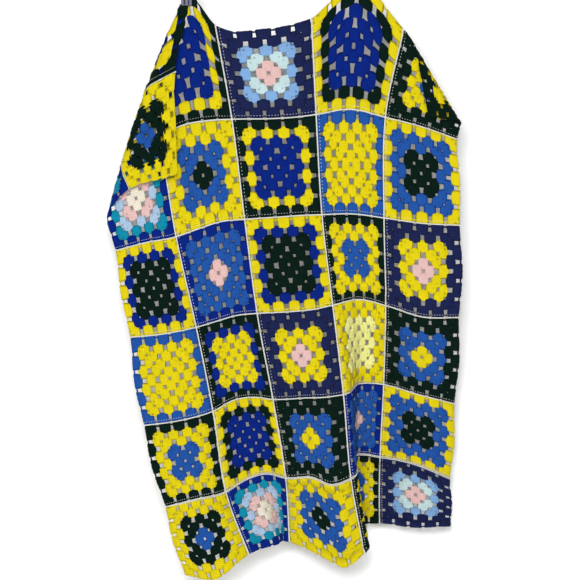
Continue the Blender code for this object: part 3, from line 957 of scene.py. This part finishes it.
class BLANKET_OT_squares(bpy.types.Operator):
    """Crochets the thirty granny squares"""

    bl_idname = "blanket.squares"
    bl_label = "Granny Squares"

    def execute(self, context):
        settings = context.scene.blanket_yarn
        names = sorted({yarn for rounds in CHART.values() for yarn in rounds})
        materials = {
            name: make_yarn_material(f"yarn_{name}", tuple(getattr(settings, name)), settings)
            for name in names
        }
        for row in range(ROWS):
            for column in range(COLUMNS):
                place = square_name(row, column)
                piece = crochet_square(f"crochet_{place}", row, column, settings, materials)
                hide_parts(f"square_{place}")
                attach(piece, "root")
        return {"FINISHED"}


class BLANKET_OT_joins(bpy.types.Operator):
    """Sews the white joins between the squares"""

    bl_idname = "blanket.joins"
    bl_label = "White Joins"

    def execute(self, context):
        settings = context.scene.blanket_joins
        yarn = Yarn()
        for kind, join in JOINS.items():
            swing = getattr(settings, f"{kind}_width")
            radius = getattr(settings, f"{kind}_radius")
            strand = strand_profile(radius, JOIN_SIDES)
            stitch = strand_profile(join["strand"], JOIN_SIDES)
            for seam in range(1, join["seams"] + 1):
                strands = onto_seam(kind, *plait(seam, join, swing, radius, settings.lift))
                yarn.add(carried(strands, strand, UNTWISTED), 0)
                row = onto_seam(kind, *small_stitches(seam, join, settings.stitch_pitch))
                yarn.add(carried(row, stitch, UNTWISTED), 0)
        looks = context.scene.blanket_yarn
        white = make_yarn_material("yarn_white", tuple(settings.white), looks)
        piece = yarn.make("yarn_joins", [white])
        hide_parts("joining_seams")
        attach(piece, "root")
        return {"FINISHED"}


class BLANKET_OT_clips(bpy.types.Operator):
    """Plates the two clips"""

    bl_idname = "blanket.clips"
    bl_label = "Clips"

    def execute(self, context):
        steel = make_steel("clip_steel_plated", context.scene.blanket_clips)
        for name in ("clip_left", "clip_right"):
            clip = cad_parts[name]
            clip.data.materials.clear()
            clip.data.materials.append(steel)
        return {"FINISHED"}


WALL = (7.0, 0.0, 5.0)  # m
FLOOR = (9.0, 8.0, 0.0)
LIGHTS = {
    "key": {"place": (-0.3, -4.2, 0.3), "size": 1.2},
    "fill": {"place": (0.6, -4.2, 0.0), "size": 1.2},
}
PAINT = {"grain": 3.0, "dark": 0.985, "roughness": 0.9}  # the grain's scale and shade


class BLANKET_OT_stage(bpy.types.Operator):
    """Sets up the wall, the floor, the lights and the camera"""

    bl_idname = "blanket.stage"
    bl_label = "Stage"

    def execute(self, context):
        stage = context.scene.blanket_stage
        low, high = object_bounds()
        tone = stage.tone / 100
        wall_y = high[1] + stage.wall_gap
        floor_z = low[2] - stage.floor_drop
        wall_middle = (stage.view_x, wall_y, floor_z + WALL[2] / 2)
        floor_middle = (stage.view_x, wall_y - FLOOR[1] / 2, floor_z)
        wall = flat_panel("stage_wall", wall_middle, WALL, tone, True)
        floor = flat_panel("stage_floor", floor_middle, FLOOR, tone, False)
        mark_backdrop(wall, floor)
        aim = (stage.view_x, 0.0, stage.view_z)
        for name, light in LIGHTS.items():
            power = getattr(stage, f"{name}_power")
            area_light(name, light["place"], aim, light["size"], power)
        world = bpy.data.worlds.new("pale surround")
        world.use_nodes = True
        background = world.node_tree.nodes["Background"]
        background.inputs["Color"].default_value = (1.0, 1.0, 1.0, 1)
        background.inputs["Strength"].default_value = stage.surround
        context.scene.world = world
        context.scene.view_settings.view_transform = "Standard"
        camera = bpy.data.cameras.new("camera")
        camera.lens = camera.sensor_width * stage.camera_distance / stage.view_width
        camera.clip_end = 50
        seat = bpy.data.objects.new("camera", camera)
        seat.location = (stage.view_x, -stage.camera_distance, stage.view_z)
        seat.rotation_euler = (np.pi / 2, 0, 0)
        context.collection.objects.link(seat)
        context.scene.camera = seat
        return {"FINISHED"}


def flat_panel(name, middle, size, tone, one_sided):
    """A flat panel with its middle at a point and no size in the direction that it faces. A
    one-sided panel is clear from behind, so that the object's back can be looked at."""
    x, y, z = middle
    half = np.array(size) / 2
    corner = np.array([[-1, -1], [1, -1], [1, 1], [-1, 1]])
    if size[2]:
        places = [(x + c[0] * half[0], y, z + c[1] * half[2]) for c in corner]
    else:
        places = [(x + c[0] * half[0], y + c[1] * half[1], z) for c in corner]
    data = bpy.data.meshes.new(name)
    data.from_pydata(places, [], [(0, 1, 2, 3)])
    shader = Shader(f"{name}_paint", (tone, tone, tone))
    place = shader.node("ShaderNodeTexCoord")
    grain = shader.node(
        "ShaderNodeTexNoise", None, Vector=place.out("Object"), Scale=PAINT["grain"]
    ).out(0)
    colour = shader.mix(grain, (tone,) * 3, (tone * PAINT["dark"],) * 3)
    shader.set(Base_Color=colour, Roughness=PAINT["roughness"])
    if one_sided:
        clear = shader.node("ShaderNodeBsdfTransparent")
        side = shader.node("ShaderNodeNewGeometry").out("Backfacing")
        mixed = shader.node("ShaderNodeMixShader", None, side)
        shader.put(mixed.node.inputs[1], shader.surface.outputs[0])
        shader.put(mixed.node.inputs[2], clear.out(0))
        output = shader.tree.nodes["Material Output"]
        shader.put(output.inputs["Surface"], mixed.out(0))
    data.materials.append(shader.material)
    panel = bpy.data.objects.new(name, data)
    bpy.context.collection.objects.link(panel)
    return panel


def area_light(name, place, aim, size, power):
    """A square light turned to its aim: it starts facing down, tips up by the angle between down
    and its aim, and turns about the upright to face it."""
    data = bpy.data.lights.new(name, "AREA")
    data.shape = "SQUARE"
    data.size = size
    data.energy = power
    light = bpy.data.objects.new(name, data)
    run = np.array(aim) - np.array(place)
    flat = np.hypot(run[0], run[1])
    light.rotation_euler = (np.arctan2(flat, -run[2]), 0, np.arctan2(-run[0], run[1]))
    light.location = place
    light.visible_camera = False
    bpy.context.collection.objects.link(light)


class BLANKET_PT_panel(bpy.types.Panel):
    bl_label = "Blanket"
    bl_idname = "BLANKET_PT_panel"
    bl_space_type = "VIEW_3D"
    bl_region_type = "UI"
    bl_category = "Blanket"

    def draw(self, context):
        for name, group, operator in STEPS_IN_ORDER:
            box = self.layout.box()
            box.label(text=name)
            settings = getattr(context.scene, group)
            for key in settings.__annotations__:
                box.prop(settings, key)
            box.operator(operator)


STEPS_IN_ORDER = (
    ("Squares", "blanket_yarn", "blanket.squares"),
    ("Joins", "blanket_joins", "blanket.joins"),
    ("Clips", "blanket_clips", "blanket.clips"),
    ("Stage", "blanket_stage", "blanket.stage"),
)
GROUPS = {
    "blanket_yarn": BLANKET_PG_yarn,
    "blanket_joins": BLANKET_PG_joins,
    "blanket_clips": BLANKET_PG_clips,
    "blanket_stage": BLANKET_PG_stage,
}
CLASSES = (
    *GROUPS.values(),
    BLANKET_OT_squares,
    BLANKET_OT_joins,
    BLANKET_OT_clips,
    BLANKET_OT_stage,
    BLANKET_PT_panel,
)


def register():
    for cls in CLASSES:
        bpy.utils.register_class(cls)
    for name, group in GROUPS.items():
        setattr(bpy.types.Scene, name, PointerProperty(type=group))


def unregister():
    for name in GROUPS:
        delattr(bpy.types.Scene, name)
    for cls in reversed(CLASSES):
        bpy.utils.unregister_class(cls)


def main():
    register()
    bpy.ops.blanket.squares()
    bpy.ops.blanket.joins()
    bpy.ops.blanket.clips()
    bpy.ops.blanket.stage()


if __name__ == "__main__":
    main()
